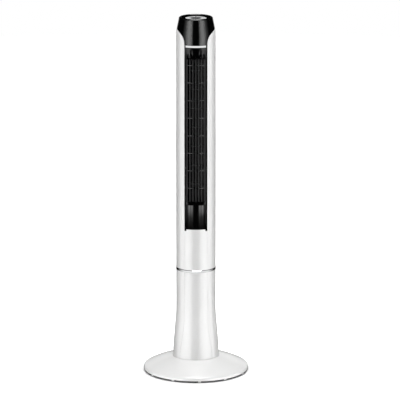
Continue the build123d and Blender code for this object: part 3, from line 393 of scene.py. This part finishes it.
def finish(name, colour, other, rough, rough_marked, marks=70.0, grain=0.5, depth=0.01,
           lines=None, metal=0.0, level=0.5, coat=0.0, dust=0.05):
    """A material. Sizes and depth are in mm, and other is the colour that the marks lead to."""
    material = bpy.data.materials.new(name)
    material.use_nodes = True
    tree = material.node_tree
    shader = tree.nodes["Principled BSDF"]
    shader.inputs["Metallic"].default_value = metal
    shader.inputs["Specular IOR Level"].default_value = level
    shader.inputs["Coat Weight"].default_value = coat
    shader.inputs["Coat Roughness"].default_value = 0.05
    mask = place(tree, "marks", marks)
    dusty = place(tree, "dust", dust)
    base = mix_colour(tree, mask, colour, other)
    grey = tuple(0.5 * c + 0.22 for c in colour)
    tree.links.new(mix_colour(tree, dusty, base, grey), shader.inputs["Base Color"])
    span = tree.nodes.new("ShaderNodeMapRange")
    span.inputs["To Min"].default_value = rough
    span.inputs["To Max"].default_value = rough_marked
    tree.links.new(mask, span.inputs["Value"])
    tree.links.new(maths(tree, "ADD", span.outputs["Result"], dusty), shader.inputs["Roughness"])
    bump = tree.nodes.new("ShaderNodeBump")
    bump.inputs["Distance"].default_value = depth * MM
    height = place(tree, "grain", grain) if lines is None else place(tree, "lines", lines)
    tree.links.new(height, bump.inputs["Height"])
    tree.links.new(bump.outputs["Normal"], shader.inputs["Normal"])
    return material

white_gloss = finish("white_gloss", (0.80, 0.80, 0.795), (0.79, 0.79, 0.785), 0.16, 0.20,
                     marks=140, grain=9.0, depth=0.006, level=0.68, dust=0.02)
black_gloss = finish("black_gloss", (0.0008, 0.0008, 0.001), (0.0016, 0.0016, 0.0016), 0.07, 0.10,
                     marks=60, grain=9.0, depth=0.006, dust=0.002)
print("made", white_gloss.name, "and", black_gloss.name)

# %% [markdown]
# The other finishes: bright plating for the ring and the bar, satin silver for the keys, and the plain
# materials of the parts inside, which show when the fan is opened or seen through its slats.

# %% The rest of the finishes
finishes = {
    "white_shell": white_gloss,
    "black_gloss": black_gloss,
    "bright_trim": finish("bright_plating", (0.90, 0.905, 0.91), (0.84, 0.845, 0.85), 0.10, 0.15,
                          lines=0.6, depth=0.002, metal=1.0, dust=0.0),
    "silver_key": finish("satin_silver", (0.52, 0.525, 0.53), (0.45, 0.455, 0.46), 0.34, 0.42,
                         marks=12, grain=0.25, depth=0.01, metal=0.55),
    "dark_lens": finish("dark_window", (0.006, 0.006, 0.008), (0.010, 0.010, 0.012), 0.04, 0.07,
                        marks=20, grain=6.0, depth=0.002, coat=0.6, dust=0.03),
    "black_matte": finish("black_moulding", (0.009, 0.009, 0.0095), (0.015, 0.015, 0.0155), 0.42, 0.52,
                          marks=30, grain=0.7, depth=0.04),
    "grey_plastic": finish("grey_moulding", (0.28, 0.29, 0.30), (0.23, 0.24, 0.25), 0.45, 0.55,
                           marks=35, grain=0.8, depth=0.03),
    "steel": finish("zinc_steel", (0.52, 0.53, 0.54), (0.42, 0.43, 0.42), 0.25, 0.42,
                    marks=10, grain=1.2, depth=0.01, metal=1.0),
    "dark_plate": finish("powder_coat", (0.022, 0.022, 0.023), (0.034, 0.034, 0.034), 0.38, 0.5,
                         marks=40, grain=0.9, depth=0.05),
    "iron": finish("cast_iron", (0.13, 0.13, 0.135), (0.20, 0.17, 0.14), 0.55, 0.8,
                   marks=25, grain=1.6, depth=0.2, metal=0.6),
    "rubber": finish("black_rubber", (0.018, 0.018, 0.018), (0.03, 0.03, 0.029), 0.7, 0.85,
                     marks=15, grain=0.5, depth=0.05),
    "white_nylon": finish("white_nylon", (0.76, 0.74, 0.68), (0.68, 0.65, 0.58), 0.35, 0.5,
                          marks=8, grain=1.0, depth=0.01),
    "brass": finish("bearing_bronze", (0.60, 0.40, 0.18), (0.42, 0.27, 0.12), 0.35, 0.5,
                    marks=6, grain=0.4, depth=0.03, metal=1.0),
    "circuit_board": finish("board_green", (0.010, 0.085, 0.035), (0.02, 0.14, 0.06), 0.25, 0.35,
                            marks=4, grain=1.4, depth=0.02, coat=0.3),
    "copper_winding": finish("copper_winding", (0.55, 0.22, 0.08), (0.30, 0.11, 0.04), 0.3, 0.45,
                             marks=5, lines=1.1, depth=0.25, metal=0.8),
}
for name, piece in nodes.items():
    for slot in piece.material_slots:
        slot.material = finishes[slot_of[name]]
lower_panel.material_slots[0].material = finish(
    "polished_black", (0.001, 0.001, 0.0012), (0.002, 0.002, 0.002), 0.09, 0.11,
    marks=50, grain=8.0, depth=0.003, dust=0.003)
print("finishes:", len(finishes), "on", len(nodes), "pieces")

# %% [markdown]
# Slats, ribs, bars, blades and screws repeat, so Geometry Nodes make them. A tree says once how one is shaped
# and how it repeats, and its named inputs hold the sizes. The next helpers build a tree, run it on points or on
# nothing, and keep the result as a plain mesh, so that the finished model holds no live modifiers.

# %% Helpers for Geometry Nodes
def new_tree(name, sizes):
    """A tree with geometry in and out, and a named input for each size."""
    tree = bpy.data.node_groups.new(name, "GeometryNodeTree")
    tree.interface.new_socket("Geometry", in_out="INPUT", socket_type="NodeSocketGeometry")
    for label, value in sizes.items():
        kind = "NodeSocketInt" if isinstance(value, int) else "NodeSocketFloat"
        kind = "NodeSocketVector" if isinstance(value, tuple) else kind
        tree.interface.new_socket(label, in_out="INPUT", socket_type=kind).default_value = value
    tree.interface.new_socket("Finish", in_out="INPUT", socket_type="NodeSocketMaterial")
    tree.interface.new_socket("Geometry", in_out="OUTPUT", socket_type="NodeSocketGeometry")
    return tree, tree.nodes.new("NodeGroupInput").outputs, tree.nodes.new("NodeGroupOutput")

def step(tree, kind, settings=None, **inputs):
    """One node. An input is named by its label with _ for spaces, and takes a value or a link."""
    made = tree.nodes.new(kind)
    for key, value in (settings or {}).items():
        setattr(made, key, value)
    for key, value in inputs.items():
        socket = made.inputs[key.replace("_", " ")]
        if isinstance(value, bpy.types.NodeSocket):
            tree.links.new(value, socket)
        else:
            socket.default_value = value
    return made.outputs[0]

def vector(tree, x=0.0, y=0.0, z=0.0):
    return step(tree, "ShaderNodeCombineXYZ", X=x, Y=y, Z=z)

def end_tree(tree, given, out, shape):
    """Every tree ends the same way: real faces, then the finish."""
    solid = step(tree, "GeometryNodeRealizeInstances", Geometry=shape)
    solid = step(tree, "GeometryNodeSetMaterial", Geometry=solid, Material=given["Finish"])
    tree.links.new(solid, out.inputs[0])
    return tree

def points_mesh(name, places):
    mesh = bpy.data.meshes.new(name)
    mesh.from_pydata([tuple(p) for p in places], [], [])
    return mesh

def run_tree(name, tree, sizes, slot, places=()):
    """Runs a tree with these sizes on some points, and keeps the result as a plain mesh."""
    start = link(name + "_start", points_mesh(name + "_start", places))
    modifier = start.modifiers.new("shape", "NODES")
    modifier.node_group = tree
    values = dict(sizes, Finish=finishes[slot])
    for item in tree.interface.items_tree:
        if item.in_out == "INPUT" and item.name in values:
            modifier[item.identifier] = values[item.name]
    graph = bpy.context.evaluated_depsgraph_get()
    mesh = bpy.data.meshes.new_from_object(start.evaluated_get(graph))
    start.modifiers.clear()
    bpy.data.objects.remove(start)
    mesh.name = name
    piece = link(name, mesh)
    print(name, "faces:", len(mesh.polygons))
    return piece

body_of = {name: body for body, names in record["behaviour"]["bodies"].items() for name in names}

def fit_piece(piece, slot, *stands_for):
    """Sets a finished piece to ride where the CAD node does, and hides the node, so that the piece takes its
    place.
    """
    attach(piece, body_of[stands_for[0]])
    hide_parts(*stands_for)
    return piece

def soft_edges(piece, width, segments=2):
    """Rounds the sharp edges of a piece and keeps the result in its mesh."""
    bevel = piece.modifiers.new("edges", "BEVEL")
    bevel.width = width
    bevel.segments = segments
    bevel.limit_method = "ANGLE"
    bevel.angle_limit = math.radians(40)
    graph = bpy.context.evaluated_depsgraph_get()
    mesh = bpy.data.meshes.new_from_object(piece.evaluated_get(graph))
    piece.modifiers.clear()
    piece.data = mesh
    smooth_curves(mesh)

def smooth_curves(mesh, limit=35):
    """Smooth shading, except across edges that turn by more than a limit in degrees."""
    shape = bmesh.new()
    shape.from_mesh(mesh)
    for face in shape.faces:
        face.smooth = True
    for edge in shape.edges:
        edge.smooth = len(edge.link_faces) == 2 and edge.calc_face_angle(0.0) < math.radians(limit)
    shape.to_mesh(mesh)
    shape.free()

# %% [markdown]
# The black insert is a strip of the head's round wall with a tall window for the slats. A moulder makes it
# in one shot, with small arches where each slot ends. A flat grid of points is laid out first, then wrapped
# on the cylinder, given its thickness and rounded at the edges, which keeps the window's outline easy to draw.

# %% Frame of the air outlet
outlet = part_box("front_grille")
strip_half = outlet[1].x
wall_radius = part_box("rear_shell")[1].x
panel_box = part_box("lower_black_panel")
window_half = 30.5 * MM
window_low, window_high = 574 * MM, tower_top - 121 * MM
slat_pitch = 9.4 * MM

def arch(x):
    """How far a slot's rounded end dips at x, with the slats at whole pitches."""
    across = abs(x / slat_pitch - math.floor(x / slat_pitch) - 0.5) * 2
    return 9 * MM * across**1.7

def wrap(x, radius):
    return -math.sqrt(radius**2 - x**2)

def strip_grid(columns, rows, hole, radius):
    """A grid of points wrapped on the cylinder, without the cells that the hole covers."""
    shape = bmesh.new()
    grid = [[shape.verts.new((x, wrap(x, radius), z(x))) for x in columns] for z in rows]
    for r in range(len(rows) - 1):
        for c in range(len(columns) - 1):
            if not hole(r, (columns[c] + columns[c + 1]) / 2):
                shape.faces.new((grid[r][c], grid[r][c + 1], grid[r + 1][c + 1], grid[r + 1][c]))
    return shape

def make_frame(name, thick):
    """The insert from its feet to the bar, thick towards the inside."""
    panel_half = panel_box[1].x + 0.3 * MM
    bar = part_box("trim_bar")
    bar_half = bar[1].x + 0.3 * MM
    fine = [-window_half + 2 * window_half * k / 96 for k in range(97)]
    columns = sorted(set([-strip_half, -panel_half, panel_half, strip_half, -bar_half, bar_half] + fine))
    levels = [outlet[0].z, panel_box[1].z + 0.3 * MM, window_low, window_high, bar[0].z, outlet[1].z]
    rows = [lambda x, z=z: z for z in levels]
    rows[3] = lambda x: window_high - (arch(x) if abs(x) < window_half else 0)
    open_half = {0: panel_half, 2: window_half, 4: bar_half}
    def hole(r, x):
        return abs(x) < open_half.get(r, 0.0)
    shape = strip_grid(columns, rows, hole, wall_radius)
    mesh = bpy.data.meshes.new(name)
    shape.to_mesh(mesh)
    piece = link(name, mesh)
    solid = piece.modifiers.new("wall", "SOLIDIFY")
    solid.thickness = thick
    solid.offset = -1
    soft_edges(piece, 0.45 * MM)
    mesh = piece.data
    mesh.materials.append(finishes["black_gloss"])
    return piece

outlet_frame = make_frame("outlet_frame", 4.5 * MM)
print("outlet frame:", len(outlet_frame.data.polygons), "faces")

# %% [markdown]
# Behind the arches stand seven upright slats, and behind the slats run eight level ribs that stiffen them.
# A bar with rounded corners is a rounded rectangle swept along a line. Swept along an arc it becomes a rib.
# Two small trees do both jobs, and the same two make the grille at the back.

# %% Trees for upright and level bars
def rounded_bar(tree, path, wide, deep, corner):
    """Sweeps a rectangle with rounded corners along a path, closed at both ends."""
    section = step(tree, "GeometryNodeCurvePrimitiveQuadrilateral", Width=wide, Height=deep)
    section = step(tree, "GeometryNodeFilletCurve", {"mode": "POLY"}, Curve=section, Count=2, Radius=corner)
    return step(tree, "GeometryNodeCurveToMesh", Curve=path, Profile_Curve=section, Fill_Caps=True)

def upright_bars():
    """Stands one bar on every point it is given, turned to face away from the tower's axis."""
    tree, given, out = new_tree("upright_bars", {"Wide": 0.002, "Deep": 0.007, "Tall": 0.4, "Corner": 0.0005})
    top = vector(tree, z=given["Tall"])
    path = step(tree, "GeometryNodeCurvePrimitiveLine", Start=(0, 0, 0), End=top)
    bar = rounded_bar(tree, path, given["Wide"], given["Deep"], given["Corner"])
    bars = step(tree, "GeometryNodeInstanceOnPoints", Points=given["Geometry"], Instance=bar)
    return end_tree(tree, given, out, bars)

def level_bars():
    """Repeats one arc-shaped bar upwards at an even spacing."""
    tree, given, out = new_tree("level_bars", {
        "Count": 8, "Bottom": 0.6, "Spacing": 0.05, "Radius": 0.05, "Middle": 0.0, "Half": 0.5,
        "Deep": 0.003, "Tall": 0.002, "Corner": 0.0004,
    })
    begin = maths(tree, "SUBTRACT", given["Middle"], given["Half"])
    sweep = maths(tree, "MULTIPLY", given["Half"], 2.0)
    path = step(tree, "GeometryNodeCurveArc", Resolution=28, Radius=given["Radius"],
                Start_Angle=begin, Sweep_Angle=sweep)
    path = step(tree, "GeometryNodeSetCurveNormal", {"mode": "Z_UP"}, Curve=path)
    bar = rounded_bar(tree, path, given["Deep"], given["Tall"], given["Corner"])
    levels = step(tree, "GeometryNodeMeshLine", Count=given["Count"],
                  Start_Location=vector(tree, z=given["Bottom"]), Offset=vector(tree, z=given["Spacing"]))
    bars = step(tree, "GeometryNodeInstanceOnPoints", Points=levels, Instance=bar)
    return end_tree(tree, given, out, bars)

upright_tree, level_tree = upright_bars(), level_bars()
print("trees:", upright_tree.name, "and", level_tree.name)

# %% [markdown]
# The slats stand in a straight row as seen from the front, so the outer ones lie deeper round the wall.

# %% Slats and ribs of the outlet
slat_wide, slat_deep, slat_back = 1.8 * MM, 7.0 * MM, 1.6 * MM
slat_places = []
for k in range(-3, 4):
    x = k * slat_pitch
    slat_places.append((x, wrap(x, wall_radius - slat_back) + slat_deep / 2, window_low - 1 * MM))
slats = run_tree("outlet_slats", upright_tree, {
    "Wide": slat_wide, "Deep": slat_deep, "Tall": window_high - window_low + 2 * MM, "Corner": 0.5 * MM,
}, "black_gloss", slat_places)
rib_count = 8
first_rib, last_rib = 43.7 * MM, 25.6 * MM
rib_low, rib_high = window_low + first_rib, window_high - last_rib
ribs = run_tree("outlet_ribs", level_tree, {
    "Count": rib_count, "Bottom": rib_low, "Spacing": (rib_high - rib_low) / (rib_count - 1),
    "Radius": wall_radius - 3.7 * MM, "Middle": math.radians(-90), "Half": math.radians(29.5),
    "Deep": 3.0 * MM, "Tall": 1.8 * MM, "Corner": 0.4 * MM,
}, "black_gloss")
for piece in (outlet_frame, slats, ribs):
    smooth_curves(piece.data)
    fit_piece(piece, "black_gloss", "front_grille")

# %% [markdown]
# The frame gets cards of its own: a narrow one draws a line down each post, and a short one lights only the
# plate above the slots, so that its shine dies away towards them.

# %% Cards for the frame
for card in side_cards:
    group = card.light_linking.receiver_collection
    group.objects.link(outlet_frame)
    group.collection_objects[-1].light_linking.link_state = "EXCLUDE"
for side, word in ((-1, "left"), (1, "right")):
    post_card = add_card("post_card_" + word, side * 46, side * 64, 1.7, ((0.0, 0.0), (0.5, 1.0), (1.0, 0.0)))
    only_on(post_card, "post_" + word, [outlet_frame])
    plate_card = add_card("plate_card_" + word, side * 24, side * 86, 1.7, side_shades, low=0.88, reach=1.0)
    only_on(plate_card, "plate_" + word, [outlet_frame])
print("cards on the frame:", len(side_cards) * 3, "and one on the slats")

# %% [markdown]
# The back takes the air in through a taller grille of closely spaced level bars on four uprights.

# %% Grille at the back
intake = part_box("rear_grille")
intake_radius = max(v.co.xy.length for v in nodes["rear_grille"].data.vertices)
intake_half = math.asin(intake[1].x / intake_radius)
bar_tall, bar_pitch = 2.4 * MM, 8 * MM
bar_count = round((intake[1].z - intake[0].z - bar_tall) / bar_pitch) + 1
intake_bars = run_tree("intake_bars", level_tree, {
    "Count": bar_count, "Bottom": intake[0].z + bar_tall / 2,
    "Spacing": (intake[1].z - intake[0].z - bar_tall) / (bar_count - 1),
    "Radius": intake_radius - 1.5 * MM, "Middle": math.radians(90), "Half": intake_half - math.radians(0.5),
    "Deep": 2.1 * MM, "Tall": bar_tall, "Corner": 0.5 * MM,
}, "black_matte")
upright_turns = [math.radians(90) + intake_half * part for part in (-0.955, -0.333, 0.333, 0.955)]
upright_radius = intake_radius - 1.7 * MM
intake_places = [(upright_radius * math.cos(turn), upright_radius * math.sin(turn), intake[0].z)
                 for turn in upright_turns]
intake_uprights = run_tree("intake_uprights", upright_tree, {
    "Wide": 3.0 * MM, "Deep": 2.6 * MM, "Tall": intake[1].z - intake[0].z, "Corner": 0.5 * MM,
}, "black_matte", intake_places)
for piece in (intake_bars, intake_uprights):
    smooth_curves(piece.data)
    fit_piece(piece, "black_matte", "rear_grille")
print("bars at the back:", bar_count)

# %% [markdown]
# The impeller follows a rule: a crown of bowed blades, all leaning the same way, held by thin rings every few
# centimetres, with a closed disc at each end. One blade is a thin bowed section swept upwards. It is repeated
# round a circle, and each copy is turned by its own place on that circle.

# %% Impeller
def blade_wheel():
    tree, given, out = new_tree("blade_wheel", {
        "Blades": 32, "Radius": 0.038, "Chord": 0.0095, "Thick": 0.0012, "Bow": 0.0012, "Lean": 1.0,
        "Bottom": 0.56, "Tall": 0.49, "Rings": 9, "Rim": 0.042, "Rim width": 0.009, "Ring thick": 0.002,
        "Behind": 0.008, "End hole": 0.01,
    })
    def calc(kind, a, b):
        return maths(tree, kind, a, b)
    # one blade: a thin rectangle cut into short runs, bowed, then swept upwards
    section = step(tree, "GeometryNodeCurvePrimitiveQuadrilateral", Width=given["Chord"], Height=given["Thick"])
    section = step(tree, "GeometryNodeResampleCurve", Curve=section, Count=18)
    spot = tree.nodes.new("ShaderNodeSeparateXYZ")
    tree.links.new(step(tree, "GeometryNodeInputPosition"), spot.inputs[0])
    share = calc("DIVIDE", spot.outputs["X"], given["Chord"])
    bow = calc("MULTIPLY", calc("MULTIPLY", share, share), calc("MULTIPLY", given["Bow"], -4.0))
    section = step(tree, "GeometryNodeSetPosition", Geometry=section, Offset=vector(tree, y=bow))
    path = step(tree, "GeometryNodeCurvePrimitiveLine", Start=(0, 0, 0), End=vector(tree, z=given["Tall"]))
    blade = step(tree, "GeometryNodeCurveToMesh", Curve=path, Profile_Curve=section, Fill_Caps=True)
    # the crown of blades
    crown = step(tree, "GeometryNodeMeshCircle", Vertices=given["Blades"], Radius=given["Radius"])
    share = calc("DIVIDE", step(tree, "GeometryNodeInputIndex"), given["Blades"])
    turn = calc("ADD", calc("MULTIPLY", share, 2 * math.pi), given["Lean"])
    crown = step(tree, "GeometryNodeInstanceOnPoints", Points=crown, Instance=blade,
                 Rotation=vector(tree, z=turn))
    # the rings
    def hoop(width, count, bottom, spacing):
        path = step(tree, "GeometryNodeCurvePrimitiveCircle", Resolution=72,
                    Radius=calc("SUBTRACT", given["Rim"], calc("DIVIDE", width, 2.0)))
        path = step(tree, "GeometryNodeSetCurveNormal", {"mode": "Z_UP"}, Curve=path)
        section = step(tree, "GeometryNodeCurvePrimitiveQuadrilateral", Width=width, Height=given["Ring thick"])
        ring = step(tree, "GeometryNodeCurveToMesh", Curve=path, Profile_Curve=section)
        levels = step(tree, "GeometryNodeMeshLine", Count=count, Start_Location=vector(tree, z=bottom),
                      Offset=vector(tree, z=spacing))
        return step(tree, "GeometryNodeInstanceOnPoints", Points=levels, Instance=ring)
    half_thick = calc("DIVIDE", given["Ring thick"], 2.0)
    span = calc("SUBTRACT", given["Tall"], given["Ring thick"])
    gaps = calc("SUBTRACT", given["Rings"], 1.0)
    rings = hoop(given["Rim width"], given["Rings"], half_thick, calc("DIVIDE", span, gaps))
    ends = hoop(calc("SUBTRACT", given["Rim"], given["End hole"]), 2, half_thick, span)
    wheel = tree.nodes.new("GeometryNodeJoinGeometry")
    for part in (crown, rings, ends):
        tree.links.new(part, wheel.inputs[0])
    wheel = step(tree, "GeometryNodeTransform", Geometry=wheel.outputs[0],
                 Translation=vector(tree, y=given["Behind"], z=given["Bottom"]))
    return end_tree(tree, given, out, wheel)

wheel_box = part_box("impeller")
impeller = run_tree("blade_wheel", blade_wheel(), {
    "Blades": 32, "Radius": 38 * MM, "Chord": 9.5 * MM, "Thick": 1.2 * MM, "Bow": 0.8 * MM,
    "Lean": math.radians(55), "Bottom": wheel_box[0].z, "Tall": wheel_box[1].z - wheel_box[0].z,
    "Rings": 9, "Rim": wheel_box[1].x, "Rim width": 9.5 * MM, "Ring thick": 2 * MM,
    "Behind": (wheel_box[0].y + wheel_box[1].y) / 2, "End hole": 9 * MM,
}, "black_matte")
smooth_curves(impeller.data)
fit_piece(impeller, "black_matte", "impeller")

# %% [markdown]
# The fan is held together by dozens of small screws. Each has a low tapered head with a cross cut in it, for
# the driver, and a plain shank. The CAD screws say where each one is, which way it faces and how big it is.
# One tree cuts the head and sets a copy on every place.

# %% Screws
def screw_tree():
    tree, given, out = new_tree("cross_head_screws", {
        "Head": 0.003, "Head tall": 0.002, "Shank": 0.0015, "Long": 0.01, "Facing": (0.0, 0.0, 0.0),
    })
    def part_of(label, share):
        return maths(tree, "MULTIPLY", given[label], share)
    head = step(tree, "GeometryNodeMeshCone", Vertices=24, Radius_Top=part_of("Head", 0.72),
                Radius_Bottom=given["Head"], Depth=given["Head tall"])
    cuts = []
    for wide, deep in ((1.1, 0.22), (0.22, 1.1)):
        size = vector(tree, part_of("Head", wide), part_of("Head", deep), part_of("Head tall", 1.1))
        slot = step(tree, "GeometryNodeMeshCube", Size=size)
        cuts.append(step(tree, "GeometryNodeTransform", Geometry=slot,
                         Translation=vector(tree, z=part_of("Head tall", 1.0))))
    cross = tree.nodes.new("GeometryNodeMeshBoolean")
    cross.operation, cross.solver = "DIFFERENCE", "EXACT"
    tree.links.new(head, cross.inputs["Mesh 1"])
    for cut in cuts:
        tree.links.new(cut, cross.inputs["Mesh 2"])
    shank = step(tree, "GeometryNodeMeshCylinder", Vertices=16, Radius=given["Shank"], Depth=given["Long"])
    shank = step(tree, "GeometryNodeTransform", Geometry=shank,
                 Translation=vector(tree, z=part_of("Long", -0.5)))
    screw = tree.nodes.new("GeometryNodeJoinGeometry")
    for part in (cross.outputs[0], shank):
        tree.links.new(part, screw.inputs[0])
    placed = step(tree, "GeometryNodeInstanceOnPoints", Points=given["Geometry"], Instance=screw.outputs[0],
                  Rotation=given["Facing"])
    return end_tree(tree, given, out, placed)

def loose_parts(mesh):
    """The separate bodies of a mesh, each as a list of its points."""
    shape = bmesh.new()
    shape.from_mesh(mesh)
    bmesh.ops.remove_doubles(shape, verts=shape.verts, dist=1e-6)
    left, parts = set(shape.verts), []
    while left:
        todo, part = [left.pop()], []
        while todo:
            point = todo.pop()
            part.append(point.co.copy())
            for edge in point.link_edges:
                other = edge.other_vert(point)
                if other in left:
                    left.remove(other)
                    todo.append(other)
        parts.append(part)
    shape.free()
    return parts

def measure_screws(name, axis):
    """Each screw's seat, and the sizes that the screws of a node share. Axis is 1 for Y or 2 for Z."""
    seats, sizes = [], {}
    for points in loose_parts(nodes[name].data):
        low = Vector([min(p[i] for p in points) for i in range(3)])
        high = Vector([max(p[i] for p in points) for i in range(3)])
        middle = (low + high) / 2
        def off_axis(p):
            return math.hypot(*(p[i] - middle[i] for i in range(3) if i != axis))
        head = max(off_axis(p) for p in points)
        rim = [p[axis] for p in points if off_axis(p) > 0.97 * head]
        up = abs(max(rim) - high[axis]) < 1e-5
        seat = middle.copy()
        seat[axis] = min(rim) if up else max(rim)
        tip = low[axis] if up else high[axis]
        shank = max(off_axis(p) for p in points if abs(p[axis] - tip) < 1e-5)
        seats.append(seat)
        sizes = {"Head": head, "Head tall": max(rim) - min(rim), "Shank": shank, "Long": abs(seat[axis] - tip)}
    turn = {(2, True): 0.0, (2, False): math.pi, (1, True): -math.pi / 2, (1, False): math.pi / 2}[axis, up]
    sizes["Facing"] = (turn, 0.0, 0.0)
    return seats, sizes

driver_tree = screw_tree()
screw_count = 0
for name in sorted(nodes):
    if not name.endswith("screws"):
        continue
    seats, sizes = measure_screws(name, 1 if name == "shell_screws" else 2)
    piece = run_tree("cross_" + name, driver_tree, sizes, "steel", seats)
    fit_piece(piece, "steel", name)
    screw_count += len(seats)
print("screws:", screw_count)

# %% [markdown]
# The last cell prints the CAD box.

# %% Sizes and the end
print("CAD box", [round(v, 4) for c in cad_box for v in c])
